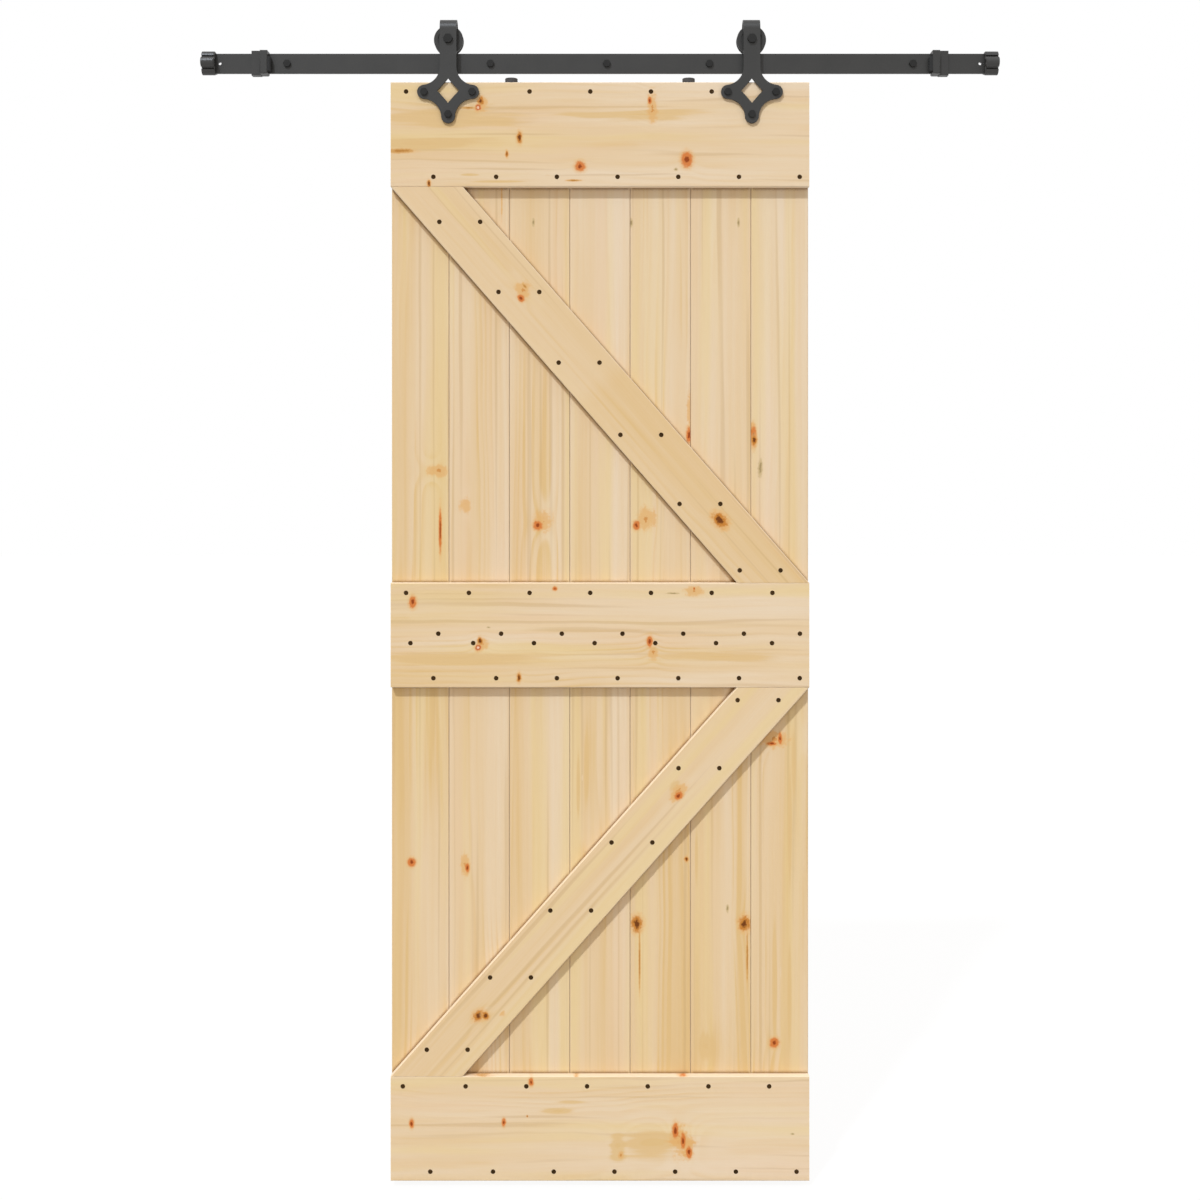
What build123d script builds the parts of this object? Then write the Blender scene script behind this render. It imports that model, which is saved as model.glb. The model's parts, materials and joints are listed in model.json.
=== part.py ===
from build123d import *
import math
import os

# A ledged and braced sliding door hung from a flat wall rail, in millimetres.
# X runs along the rail, Z is up, the wall is the plane Y = 0 and the front faces -Y.
# The origin is the middle of the wall face of the middle rail spacer.

# Door leaf
DOOR_WIDTH = 800
DOOR_HEIGHT = 2100
BOARD_COUNT = 7
BOARD_COVER = 116
BOARD_THICKNESS = 18
BOARD_CHAMFER = 1.2
BOARD_FACE_GAP = 0.4
TONGUE_LENGTH = 6
TONGUE_THICKNESS = 6
TONGUE_CLEARANCE = 0.4
LEDGE_THICKNESS = 17
LEDGE_HEIGHT = 200
UPPER_OPENING = 757
BRACE_END_WIDTH = 138
EASED_EDGE = 2

# Rail and its fixings to the wall
RAIL_LENGTH = 1518
RAIL_HEIGHT = 38
RAIL_THICKNESS = 6
RAIL_EASED_EDGE = 0.8
RAIL_END_HOLE_DIAMETER = 6
RAIL_END_HOLE_INSET = 30
OUTER_BOLT_INSET = 159
INNER_BOLT_SPACING = 420
MIDDLE_BOLT_OFFSET = 13
SPACER_LENGTH = 34
SPACER_DIAMETER = 18
WALL_SCREW_LENGTH = 20
WALL_SCREW_DIAMETER = 7
WALL_SCREW_POINT = 6
WALL_SCREW_SHANK = 1

# Caps and stops on the rail
CAP_LENGTH = 25.5
CAP_END_WALL = 3
CAP_LOBES = 5
CAP_LOBE_RADIUS = 10.8
CAP_LOBE_OFFSET = 12.4
CAP_GROOVE_RADIUS = 2.8
CAP_GROOVE_OFFSET = 18
CAP_CHAMFER = 1.8
CAP_END_EASE = 0.5
STOP_INSET = 91.5
STOP_SLEEVE_LENGTH = 18
STOP_SLEEVE_HEIGHT = 47
STOP_SLEEVE_WALL = 4
STOP_HEAD_LENGTH = 14
STOP_HEAD_HEIGHT = 45
STOP_HEAD_REACH = 15
STOP_EASED_EDGE = 1.2
STOP_LOW_CORNER = 3
BUFFER_LENGTH = 6
BUFFER_WIDTH = 13
BUFFER_HEIGHT = 27
BUFFER_DROP = 2.5
BUFFER_ROUNDING = 2.5

# Hangers
HANGER_INSET = 110
STRAP_WIDTH = 32
STRAP_THICKNESS = 5
BEND_RISE = 20.7
BACK_LEG_DROP = 13
BACK_LEG_CORNER = 8
PLATE_DROP = 19.5
TIP_REACH_SIDE = 45.8
TIP_REACH_DOWN = 46.5
TIP_RADIUS = 13.2
LOW_BOLT_RISE = 4
PLATE_HOLLOW_RADIUS = 35
DIAMOND_HALF_WIDTH = 21
DIAMOND_HALF_HEIGHT = 23.6
DIAMOND_LIFT = 2.2
DIAMOND_BULGE = 0.5

# Wheels
TREAD_RADIUS = 24.7
FLANGE_DEPTH = 3.3
FLANGE_THICKNESS = 5
GROOVE_SIDE_CLEARANCE = 1
GROOVE_FLARE = 0.6
FLANGE_CHAMFER = 0.8
HUB_RADIUS = 10
WEB_OUTER_RADIUS = 20.5
WEB_RECESS = 1.5
AXLE_RADIUS = 5

# Anti-jump discs on the top edge of the door
DISC_INSET = 230
DISC_DIAMETER = 24
DISC_HEIGHT = 9
DISC_CHAMFER = 0.5
DISC_SETBACK = 0.5
DISC_SCREW_RADIUS = 2.5
DISC_SCREW_HEAD_RADIUS = 4.5
DISC_SCREW_HEAD_HEIGHT = 4
DISC_SCREW_DEPTH = 40

# Bolts and nuts
BOLT_RADIUS = 4
BOLT_HEAD_FLATS = 13
BOLT_HEAD_HEIGHT = 4
BOLT_NUT_HEIGHT = 5
HEX_CHAMFER = 0.9
WASHER_RADIUS = 10
WASHER_THICKNESS = 1.6
BOLT_END = 1
AXLE_HEAD_FLATS = 16
AXLE_HEAD_HEIGHT = 4.5
AXLE_NUT_HEIGHT = 6

# Clearances
DOOR_TO_RAIL = 19.2
STRAP_TO_RAIL = 11
RUNNING_GAP = 0.3
AXLE_CLEARANCE = 0.05
BOLT_HOLE_CLEARANCE = 0.25
SCREW_CLEARANCE = 0.1

# Positions that follow from the sizes
RAIL_X = -MIDDLE_BOLT_OFFSET
RAIL_BACK = -SPACER_LENGTH
RAIL_FRONT = RAIL_BACK - RAIL_THICKNESS
RAIL_Y = (RAIL_BACK + RAIL_FRONT) / 2
OUTER_BOLT_REACH = RAIL_LENGTH / 2 - OUTER_BOLT_INSET
RAIL_BOLTS_X = (
    RAIL_X - OUTER_BOLT_REACH,
    RAIL_X - INNER_BOLT_SPACING / 2,
    0,
    RAIL_X + INNER_BOLT_SPACING / 2,
    RAIL_X + OUTER_BOLT_REACH,
)
DOOR_X = RAIL_X
DOOR_LEFT = DOOR_X - DOOR_WIDTH / 2
DOOR_TOP = -RAIL_HEIGHT / 2 - DOOR_TO_RAIL
DOOR_BOTTOM = DOOR_TOP - DOOR_HEIGHT
DOOR_FRONT = RAIL_FRONT - STRAP_TO_RAIL
BOARD_FRONT = DOOR_FRONT + LEDGE_THICKNESS
BOARD_BACK = BOARD_FRONT + BOARD_THICKNESS
STRAP_FRONT = DOOR_FRONT - STRAP_THICKNESS
BEND_INNER = RAIL_Y - DOOR_FRONT
BEND_OUTER = BEND_INNER + STRAP_THICKNESS
AXLE_Z = RAIL_HEIGHT / 2 + RUNNING_GAP + TREAD_RADIUS
BEND_Z = AXLE_Z + BEND_RISE
PLATE_Z = DOOR_TOP - PLATE_DROP
DISC_Y = DOOR_FRONT + DISC_SETBACK + DISC_DIAMETER / 2
SIDES = {"left": -1, "right": 1}
FRONT_END, BACK_END = 0, -1


def box_between(x0, x1, y0, y1, z0, z1):
    """A box given by the positions of its six faces."""
    middle = Pos((x0 + x1) / 2, (y0 + y1) / 2, (z0 + z1) / 2)
    return middle * Box(abs(x1 - x0), abs(y1 - y0), abs(z1 - z0))


def rod(radius, x, z, y_front, y_back):
    """A round rod along Y."""
    disc = Plane.XZ.offset(-y_back) * Pos(x, z) * Circle(radius)
    return extrude(disc, amount=y_back - y_front)


def hexagon(flats, x, z, y_front, y_back, outer_end):
    """A hexagonal head or nut along Y, its corners cut back at its outer end."""
    outline = RegularPolygon(flats / 2, 6, major_radius=False)
    prism = extrude(Plane.XZ.offset(-y_back) * Pos(x, z) * outline, amount=y_back - y_front)
    crown = rod(flats / math.sqrt(3), x, z, y_front, y_back)
    ends = crown.edges().filter_by(GeomType.CIRCLE).sort_by(Axis.Y)
    return prism & chamfer(ends[outer_end], HEX_CHAMFER)


def hanger_x(side):
    return DOOR_X + SIDES[side] * (DOOR_WIDTH / 2 - HANGER_INSET)


def hanger_bolt_points(side):
    """The three bolts of one hanger, at the tips of its plate."""
    x = hanger_x(side)
    return (
        (x - TIP_REACH_SIDE, PLATE_Z),
        (x + TIP_REACH_SIDE, PLATE_Z),
        (x, PLATE_Z - TIP_REACH_DOWN + LOW_BOLT_RISE),
    )


def disc_x(side):
    return DOOR_X + SIDES[side] * (DOOR_WIDTH / 2 - DISC_INSET)


def door_bolt_holes():
    """The holes for the hanger bolts through the top ledge and the boards."""
    radius = BOLT_RADIUS + BOLT_HOLE_CLEARANCE
    return [
        rod(radius, x, z, STRAP_FRONT, 0)
        for side in SIDES
        for x, z in hanger_bolt_points(side)
    ]


def board_edges():
    """The positions of the joints between the boards and of the two door edges."""
    inner = (BOARD_COUNT - 2) * BOARD_COVER
    first = DOOR_X - inner / 2
    joints = [first + BOARD_COVER * i for i in range(BOARD_COUNT - 1)]
    return [DOOR_LEFT, *joints, DOOR_LEFT + DOOR_WIDTH]


def make_board(left, right, grooved, tongued):
    """An upright board with chamfered edges, a tongue on its right and a groove on its left."""
    front, back, c = BOARD_FRONT, BOARD_BACK, BOARD_CHAMFER
    middle = (front + back) / 2
    half = TONGUE_THICKNESS / 2
    lip_left, lip_right = left, right
    points = [(left, back - c), (left + c, back), (right - c, back), (right, back - c)]
    if tongued:
        tip = right + TONGUE_LENGTH
        lip_right = right - BOARD_FACE_GAP / 2
        points += [(right, middle + half), (tip, middle + half)]
        points += [(tip, middle - half), (lip_right, middle - half)]
    if grooved:
        lip_left = left + BOARD_FACE_GAP / 2
    points += [(lip_right, front + c), (lip_right - c, front)]
    points += [(lip_left + c, front), (lip_left, front + c)]
    if grooved:
        deep = left + TONGUE_LENGTH + TONGUE_CLEARANCE
        wide = half + TONGUE_CLEARANCE / 2
        points += [(lip_left, middle - wide), (deep, middle - wide)]
        points += [(deep, middle + wide), (left, middle + wide)]
    face = make_face(Polyline(*points, close=True))
    return extrude(Plane.XY.offset(DOOR_BOTTOM) * face, amount=DOOR_HEIGHT)


def make_boards():
    edges = board_edges()
    holes = door_bolt_holes()
    boards = {}
    for i in range(BOARD_COUNT):
        board = make_board(edges[i], edges[i + 1], i > 0, i < BOARD_COUNT - 1)
        boards[f"board_{i + 1}"] = board - holes
    return boards


def ease_edges(solid):
    """Round the long edges of a ledge or brace, front and back."""
    faces = solid.faces().sort_by(Axis.Y)
    long_edges = [face.edges().sort_by(SortBy.LENGTH)[-2:] for face in (faces[0], faces[-1])]
    return fillet(long_edges[0] + long_edges[1], EASED_EDGE)


def make_ledge(top):
    right = DOOR_LEFT + DOOR_WIDTH
    ledge = box_between(DOOR_LEFT, right, DOOR_FRONT, BOARD_FRONT, top - LEDGE_HEIGHT, top)
    return ease_edges(ledge)


def make_ledges():
    """Three cross boards: the top one has holes for the hanger bolts and the disc screws."""
    middle_top = DOOR_TOP - LEDGE_HEIGHT - UPPER_OPENING
    screw_holes = [
        Pos(disc_x(side), DISC_Y, DOOR_TOP)
        * Cylinder(DISC_SCREW_RADIUS + SCREW_CLEARANCE, 2 * DISC_SCREW_DEPTH)
        for side in SIDES
    ]
    return {
        "top_ledge": make_ledge(DOOR_TOP) - door_bolt_holes() - screw_holes,
        "middle_ledge": make_ledge(middle_top),
        "bottom_ledge": make_ledge(DOOR_BOTTOM + LEDGE_HEIGHT),
    }


def make_brace(top, bottom, start):
    """A slanting board between two ledges, from the start side at its top."""
    half = DOOR_WIDTH / 2
    outer = start * half
    inner = start * (half - BRACE_END_WIDTH)
    corners = [(outer, top), (inner, top), (-outer, bottom), (-inner, bottom)]
    face = make_face(Polyline(*corners, close=True))
    plane = Plane.XZ.offset(-BOARD_FRONT) * Pos(DOOR_X, 0)
    brace = extrude(plane * face, amount=LEDGE_THICKNESS)
    return ease_edges(brace)


def make_braces():
    upper_top = DOOR_TOP - LEDGE_HEIGHT
    upper_bottom = upper_top - UPPER_OPENING
    lower_top = upper_bottom - LEDGE_HEIGHT
    return {
        "upper_brace": make_brace(upper_top, upper_bottom, SIDES["left"]),
        "lower_brace": make_brace(lower_top, DOOR_BOTTOM + LEDGE_HEIGHT, SIDES["right"]),
    }


def make_rail():
    half = RAIL_LENGTH / 2
    bar = box_between(
        RAIL_X - half, RAIL_X + half, RAIL_FRONT, RAIL_BACK, -RAIL_HEIGHT / 2, RAIL_HEIGHT / 2
    )
    bar = fillet(bar.edges().filter_by(Axis.X), RAIL_EASED_EDGE)
    holes = [
        rod(BOLT_RADIUS + BOLT_HOLE_CLEARANCE, x, 0, RAIL_FRONT, RAIL_BACK) for x in RAIL_BOLTS_X
    ]
    for side in SIDES.values():
        x = RAIL_X + side * (half - RAIL_END_HOLE_INSET)
        holes.append(rod(RAIL_END_HOLE_DIAMETER / 2, x, 0, RAIL_FRONT, RAIL_BACK))
    return bar - holes


def make_spacer(x):
    tube = rod(SPACER_DIAMETER / 2, x, 0, RAIL_BACK, 0)
    return tube - rod(BOLT_RADIUS + BOLT_HOLE_CLEARANCE, x, 0, RAIL_BACK, 0)


def make_rail_bolt(x):
    """A coach screw through the rail and a spacer, with its thread behind the wall face."""
    head_front = RAIL_FRONT - BOLT_HEAD_HEIGHT
    thread_end = WALL_SCREW_LENGTH - WALL_SCREW_POINT
    radius = WALL_SCREW_DIAMETER / 2
    point = Pos(x, thread_end + WALL_SCREW_POINT / 2, 0) * Rot(-90, 0, 0)
    return (
        hexagon(BOLT_HEAD_FLATS, x, 0, head_front, RAIL_FRONT, FRONT_END)
        + rod(BOLT_RADIUS, x, 0, RAIL_FRONT, WALL_SCREW_SHANK)
        + rod(radius, x, 0, WALL_SCREW_SHANK, thread_end)
        + point * Cone(radius, radius / 5, WALL_SCREW_POINT)
    )


def rail_slot(x0, x1):
    """The space that the rail fills inside a cap or a stop."""
    return box_between(x0, x1, RAIL_FRONT, RAIL_BACK, -RAIL_HEIGHT / 2, RAIL_HEIGHT / 2)


def make_end_cap(side):
    """A lobed and grooved knob pushed over the end of the rail, with one lobe to the front."""
    end = RAIL_LENGTH / 2 + CAP_END_WALL
    start = end - CAP_LENGTH
    turn = 360 / CAP_LOBES
    profile = Circle(CAP_LOBE_OFFSET)
    for i in range(CAP_LOBES):
        profile = profile + Rot(0, 0, 180 + turn * i) * Pos(CAP_LOBE_OFFSET, 0) * Circle(CAP_LOBE_RADIUS)
    for i in range(CAP_LOBES):
        profile = profile - Rot(0, 0, turn * i) * Pos(CAP_GROOVE_OFFSET, 0) * Circle(CAP_GROOVE_RADIUS)
    cap = extrude(Plane.YZ * profile, amount=CAP_LENGTH)
    cap = chamfer(cap.faces().sort_by(Axis.X)[0].edges(), CAP_CHAMFER)
    cap = chamfer(cap.faces().sort_by(Axis.X)[-1].edges(), CAP_END_EASE)
    cap = Pos(start, RAIL_Y, 0) * cap - rail_slot(start, RAIL_LENGTH / 2)
    if side == "left":
        cap = mirror(cap, about=Plane.YZ)
    return Pos(RAIL_X, 0, 0) * cap


def make_stop(side):
    """A sleeve on the rail with a head that stands forward in the way of the hanger strap."""
    outer = RAIL_LENGTH / 2 - STOP_INSET
    step = outer - STOP_SLEEVE_LENGTH
    inner = step - STOP_HEAD_LENGTH
    front, back = RAIL_FRONT - STOP_SLEEVE_WALL, RAIL_BACK + STOP_SLEEVE_WALL
    half = STOP_SLEEVE_HEIGHT / 2
    sleeve = box_between(step, outer, front, back, -half, half)
    half = STOP_HEAD_HEIGHT / 2
    head = box_between(inner, step, RAIL_FRONT - STOP_HEAD_REACH, back, -half, half)
    low_corner = head.edges().filter_by(Axis.Y).sort_by(Axis.X)[:2].sort_by(Axis.Z)[0]
    head = fillet(low_corner, STOP_LOW_CORNER)
    head = chamfer(head.faces().sort_by(Axis.Y)[0].edges(), STOP_EASED_EDGE)
    stop = sleeve + head - rail_slot(inner, outer)
    if side == "left":
        stop = mirror(stop, about=Plane.YZ)
    return Pos(RAIL_X, 0, 0) * stop


def make_stop_buffer(side):
    """A rubber pad on the inner face of a stop."""
    face = RAIL_LENGTH / 2 - STOP_INSET - STOP_SLEEVE_LENGTH - STOP_HEAD_LENGTH
    front = RAIL_FRONT - STOP_HEAD_REACH + STOP_EASED_EDGE
    middle = -BUFFER_DROP
    pad = box_between(
        face - BUFFER_LENGTH,
        face,
        front,
        front + BUFFER_WIDTH,
        middle - BUFFER_HEIGHT / 2,
        middle + BUFFER_HEIGHT / 2,
    )
    pad = fillet(pad.faces().sort_by(Axis.X)[0].edges(), BUFFER_ROUNDING)
    if side == "left":
        pad = mirror(pad, about=Plane.YZ)
    return Pos(RAIL_X, 0, 0) * pad


def toward(start, end, distance):
    """The point at a distance from the start on the line to the end."""
    share = distance / math.dist(start, end)
    return tuple(a + (b - a) * share for a, b in zip(start, end))


def hollow_between(tip_a, tip_b):
    """The centre of the hollow arc that touches two tip circles of a hanger plate."""
    reach = TIP_RADIUS + PLATE_HOLLOW_RADIUS
    middle = tuple((a + b) / 2 for a, b in zip(tip_a, tip_b))
    span = math.dist(tip_a, tip_b)
    out = math.sqrt(reach**2 - (span / 2) ** 2)
    across = ((tip_a[1] - tip_b[1]) / span, -(tip_a[0] - tip_b[0]) / span)
    return (middle[0] + out * across[0], middle[1] + out * across[1])


def short_arc(centre, start, end):
    """The shorter arc about a centre between two points."""
    middle = tuple((a + b) / 2 for a, b in zip(start, end))
    return ThreePointArc(start, toward(centre, middle, math.dist(centre, start)), end)


def plate_outline():
    """The strap and its three-tipped plate, seen from the front, about the hanger's centre line."""
    half = STRAP_WIDTH / 2
    side_tip = (TIP_REACH_SIDE, PLATE_Z)
    low_tip = (0, PLATE_Z - TIP_REACH_DOWN)
    reach = TIP_RADIUS + PLATE_HOLLOW_RADIUS
    upper_x = half + PLATE_HOLLOW_RADIUS
    upper = (upper_x, PLATE_Z + math.sqrt(reach**2 - (upper_x - TIP_REACH_SIDE) ** 2))
    lower = hollow_between(side_tip, low_tip)
    strap_foot = (half, upper[1])
    tip_start = toward(side_tip, upper, TIP_RADIUS)
    tip_end = toward(side_tip, lower, TIP_RADIUS)
    low_start = toward(low_tip, lower, TIP_RADIUS)
    low_end = (0, low_tip[1] - TIP_RADIUS)
    side_end = (TIP_REACH_SIDE + TIP_RADIUS, PLATE_Z)
    right = [
        Line((0, BEND_Z), (half, BEND_Z)),
        Line((half, BEND_Z), strap_foot),
        short_arc(upper, strap_foot, tip_start),
        ThreePointArc(tip_start, side_end, tip_end),
        short_arc(lower, tip_end, low_start),
        short_arc(low_tip, low_start, low_end),
    ]
    left = [mirror(edge, about=Plane.YZ) for edge in right]
    return make_face(right + left)


def diamond_hole():
    """A four-cornered hole whose sides bow inwards a little."""
    middle = PLATE_Z + DIAMOND_LIFT
    corners = [
        (0, middle + DIAMOND_HALF_HEIGHT),
        (DIAMOND_HALF_WIDTH, middle),
        (0, middle - DIAMOND_HALF_HEIGHT),
        (-DIAMOND_HALF_WIDTH, middle),
    ]
    sides = []
    for start, end in zip(corners, corners[1:] + corners[:1]):
        half_way = tuple((a + b) / 2 for a, b in zip(start, end))
        bowed = toward(half_way, (0, middle), DIAMOND_BULGE)
        sides.append(ThreePointArc(start, bowed, end))
    return make_face(sides)


def make_hanger(side):
    """A strap that bends over the wheel, with a pierced plate bolted to the door below."""
    x = hanger_x(side)
    front = Plane.XZ.offset(-DOOR_FRONT) * Pos(x, 0)
    plate = extrude(front * (plate_outline() - diamond_hole()), amount=STRAP_THICKNESS)
    middle = Pos(RAIL_Y, BEND_Z)
    ring = middle * (Circle(BEND_OUTER) - Circle(BEND_INNER))
    upper_half = middle * Pos(0, BEND_OUTER / 2) * Rectangle(2 * BEND_OUTER, BEND_OUTER)
    bend = extrude(Plane.YZ * (ring & upper_half), amount=STRAP_WIDTH / 2, both=True)
    back = RAIL_Y + BEND_INNER
    half = STRAP_WIDTH / 2
    leg = box_between(-half, half, back, back + STRAP_THICKNESS, AXLE_Z - BACK_LEG_DROP, BEND_Z)
    low_edges = leg.faces().sort_by(Axis.Z)[0].edges().filter_by(Axis.Y)
    leg = fillet(low_edges, BACK_LEG_CORNER)
    hanger = plate + Pos(x, 0, 0) * bend + Pos(x, 0, 0) * leg
    bolt_hole = BOLT_RADIUS + BOLT_HOLE_CLEARANCE
    holes = [rod(bolt_hole, bx, bz, STRAP_FRONT, DOOR_FRONT) for bx, bz in hanger_bolt_points(side)]
    holes.append(rod(AXLE_RADIUS + SCREW_CLEARANCE, x, AXLE_Z, STRAP_FRONT, 0))
    return hanger - holes


def make_hanger_bolts(side):
    """Three hexagon bolts right through the plate and the door."""
    back = BOARD_BACK + WASHER_THICKNESS + BOLT_NUT_HEIGHT + BOLT_END
    bolts = [
        hexagon(BOLT_HEAD_FLATS, x, z, STRAP_FRONT - BOLT_HEAD_HEIGHT, STRAP_FRONT, FRONT_END)
        + rod(BOLT_RADIUS, x, z, STRAP_FRONT, back)
        for x, z in hanger_bolt_points(side)
    ]
    return Compound([bolt.solid() for bolt in bolts])


def make_hanger_nuts(side):
    """Three nuts on washers at the back of the boards."""
    washer_back = BOARD_BACK + WASHER_THICKNESS
    nut_back = washer_back + BOLT_NUT_HEIGHT
    nuts = [
        rod(WASHER_RADIUS, x, z, BOARD_BACK, washer_back)
        + hexagon(BOLT_HEAD_FLATS, x, z, washer_back, nut_back, BACK_END)
        - rod(BOLT_RADIUS + SCREW_CLEARANCE, x, z, BOARD_BACK, nut_back)
        for x, z in hanger_bolt_points(side)
    ]
    return Compound([nut.solid() for nut in nuts])


def make_axle_bolt(side):
    x = hanger_x(side)
    back = RAIL_Y + BEND_OUTER + AXLE_NUT_HEIGHT + BOLT_END
    head_front = STRAP_FRONT - AXLE_HEAD_HEIGHT
    head = hexagon(AXLE_HEAD_FLATS, x, AXLE_Z, head_front, STRAP_FRONT, FRONT_END)
    return head + rod(AXLE_RADIUS, x, AXLE_Z, STRAP_FRONT, back)


def make_axle_nut(side):
    x = hanger_x(side)
    front = RAIL_Y + BEND_OUTER
    back = front + AXLE_NUT_HEIGHT
    nut = hexagon(AXLE_HEAD_FLATS, x, AXLE_Z, front, back, BACK_END)
    return nut - rod(AXLE_RADIUS + SCREW_CLEARANCE, x, AXLE_Z, front, back)


def make_wheel(side):
    """A grooved wheel with a flange on each side of the rail and a hub between the strap legs."""
    bore = AXLE_RADIUS + AXLE_CLEARANCE
    hub = BEND_INNER - RUNNING_GAP
    groove = RAIL_THICKNESS / 2 + GROOVE_SIDE_CLEARANCE
    face = groove + FLANGE_THICKNESS
    rim = TREAD_RADIUS + FLANGE_DEPTH
    web = face - WEB_RECESS
    half = [
        (bore, hub),
        (HUB_RADIUS, hub),
        (HUB_RADIUS, web),
        (WEB_OUTER_RADIUS, web),
        (WEB_OUTER_RADIUS, face),
        (rim - FLANGE_CHAMFER, face),
        (rim, face - FLANGE_CHAMFER),
        (rim, groove + GROOVE_FLARE),
        (TREAD_RADIUS, groove),
    ]
    points = half + [(r, -y) for r, y in reversed(half)]
    wheel = revolve(make_face(Polyline(*points, close=True)), axis=Axis.Y)
    return Pos(hanger_x(side), RAIL_Y, AXLE_Z) * wheel


def make_disc(side):
    """A disc on top of the door that keeps the wheels from lifting off the rail."""
    disc = Cylinder(DISC_DIAMETER / 2, DISC_HEIGHT)
    disc = chamfer(disc.edges().sort_by(Axis.Z)[-1], DISC_CHAMFER)
    disc = disc - Cylinder(DISC_SCREW_RADIUS + SCREW_CLEARANCE, DISC_HEIGHT)
    seat = Pos(0, 0, (DISC_HEIGHT - DISC_SCREW_HEAD_HEIGHT) / 2)
    disc = disc - seat * Cylinder(DISC_SCREW_HEAD_RADIUS + SCREW_CLEARANCE, DISC_SCREW_HEAD_HEIGHT)
    return Pos(disc_x(side), DISC_Y, DOOR_TOP + DISC_HEIGHT / 2) * disc


def make_disc_screws():
    """One screw down through each disc into the top ledge."""
    head_top = DOOR_TOP + DISC_HEIGHT
    head_bottom = head_top - DISC_SCREW_HEAD_HEIGHT
    low = DOOR_TOP - DISC_SCREW_DEPTH + BOLT_END
    screws = []
    for side in SIDES:
        head = Pos(disc_x(side), DISC_Y, (head_top + head_bottom) / 2)
        shank = Pos(disc_x(side), DISC_Y, (head_bottom + low) / 2)
        screw = head * Cylinder(DISC_SCREW_HEAD_RADIUS, DISC_SCREW_HEAD_HEIGHT)
        screw = screw + shank * Cylinder(DISC_SCREW_RADIUS, head_bottom - low)
        screws.append(screw.solid())
    return Compound(screws)


def make_parts():
    """Every piece by its name."""
    parts = {"rail": make_rail()}
    for i, x in enumerate(RAIL_BOLTS_X, 1):
        parts[f"rail_spacer_{i}"] = make_spacer(x)
        parts[f"rail_bolt_{i}"] = make_rail_bolt(x)
    parts.update(make_boards())
    parts.update(make_ledges())
    parts.update(make_braces())
    for side in SIDES:
        parts[f"{side}_end_cap"] = make_end_cap(side)
        parts[f"{side}_stop"] = make_stop(side)
        parts[f"{side}_stop_buffer"] = make_stop_buffer(side)
        parts[f"{side}_hanger"] = make_hanger(side)
        parts[f"{side}_hanger_bolts"] = make_hanger_bolts(side)
        parts[f"{side}_hanger_nuts"] = make_hanger_nuts(side)
        parts[f"{side}_wheel"] = make_wheel(side)
        parts[f"{side}_axle_bolt"] = make_axle_bolt(side)
        parts[f"{side}_axle_nut"] = make_axle_nut(side)
        parts[f"{side}_anti_jump_disc"] = make_disc(side)
    parts["disc_screws"] = make_disc_screws()
    return parts


def main():
    os.makedirs("parts", exist_ok=True)
    for name, shape in make_parts().items():
        export_step(shape, f"parts/{name}.step")


main()
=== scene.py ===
import json
import math
from collections import namedtuple

import bmesh
import bpy
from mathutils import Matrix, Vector


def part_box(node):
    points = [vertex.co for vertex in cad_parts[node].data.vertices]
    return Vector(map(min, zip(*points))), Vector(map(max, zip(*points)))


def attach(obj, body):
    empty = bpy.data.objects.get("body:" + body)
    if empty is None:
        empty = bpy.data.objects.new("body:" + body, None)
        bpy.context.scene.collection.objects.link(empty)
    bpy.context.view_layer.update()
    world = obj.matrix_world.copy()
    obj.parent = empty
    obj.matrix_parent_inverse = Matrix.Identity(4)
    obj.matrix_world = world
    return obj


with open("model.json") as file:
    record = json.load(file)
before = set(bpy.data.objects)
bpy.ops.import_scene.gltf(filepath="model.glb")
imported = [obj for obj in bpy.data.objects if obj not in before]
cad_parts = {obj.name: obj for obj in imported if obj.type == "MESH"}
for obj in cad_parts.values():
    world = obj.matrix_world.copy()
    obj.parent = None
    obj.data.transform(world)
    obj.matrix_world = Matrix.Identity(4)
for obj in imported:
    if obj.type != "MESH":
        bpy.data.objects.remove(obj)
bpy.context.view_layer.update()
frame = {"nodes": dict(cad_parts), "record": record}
nodes = frame["nodes"]

MM = 0.001
UP = Vector((0, 0, 1))
RIGHT = Vector((1, 0, 0))
BACK = Vector((0, 1, 0))

# The door's front, read from the frame
top_low, top_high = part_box("top_ledge")
DOOR_LEFT = top_low.x
DOOR_RIGHT = top_high.x
DOOR_TOP = top_high.z
LEDGE_FACE = top_low.y
DOOR_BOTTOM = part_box("bottom_ledge")[0].z

# The joints between the boards, in millimetres from the door's left edge
BOARDS = 7
FIRST_JOINT = 110
BOARD_PITCH = 116

# The photograph's view: a level camera with the image centre below the horizon. Its distance from
# the ledges' faces and its drop from the door's top are in metres, its lens is in millimetres.
CAMERA_DISTANCE = 3.0
CAMERA_LENS = 47.1
CAMERA_DROP = 0.726
CAMERA_SHIFT = -0.115

# Light: a sun with angles in degrees, a sky that is brighter overhead, and a floor in metres
SUN_STRENGTH = 1.85
SUN_COLOUR = (0.92, 1.00, 1.10)
SUN_ANGLE = 3
SUN_ELEVATION = 48
SUN_AZIMUTH = 26
AMBIENT_LEVEL = 0.30
AMBIENT_OVERHEAD = 1.12
AMBIENT_COLOUR = (1.04, 0.96, 0.88)
FLOOR_GAP = 0.012
FLOOR_SIZE = 40
FLOOR_SHADOW = 0.07
FLOOR_BOUNCE = 0.5

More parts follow.
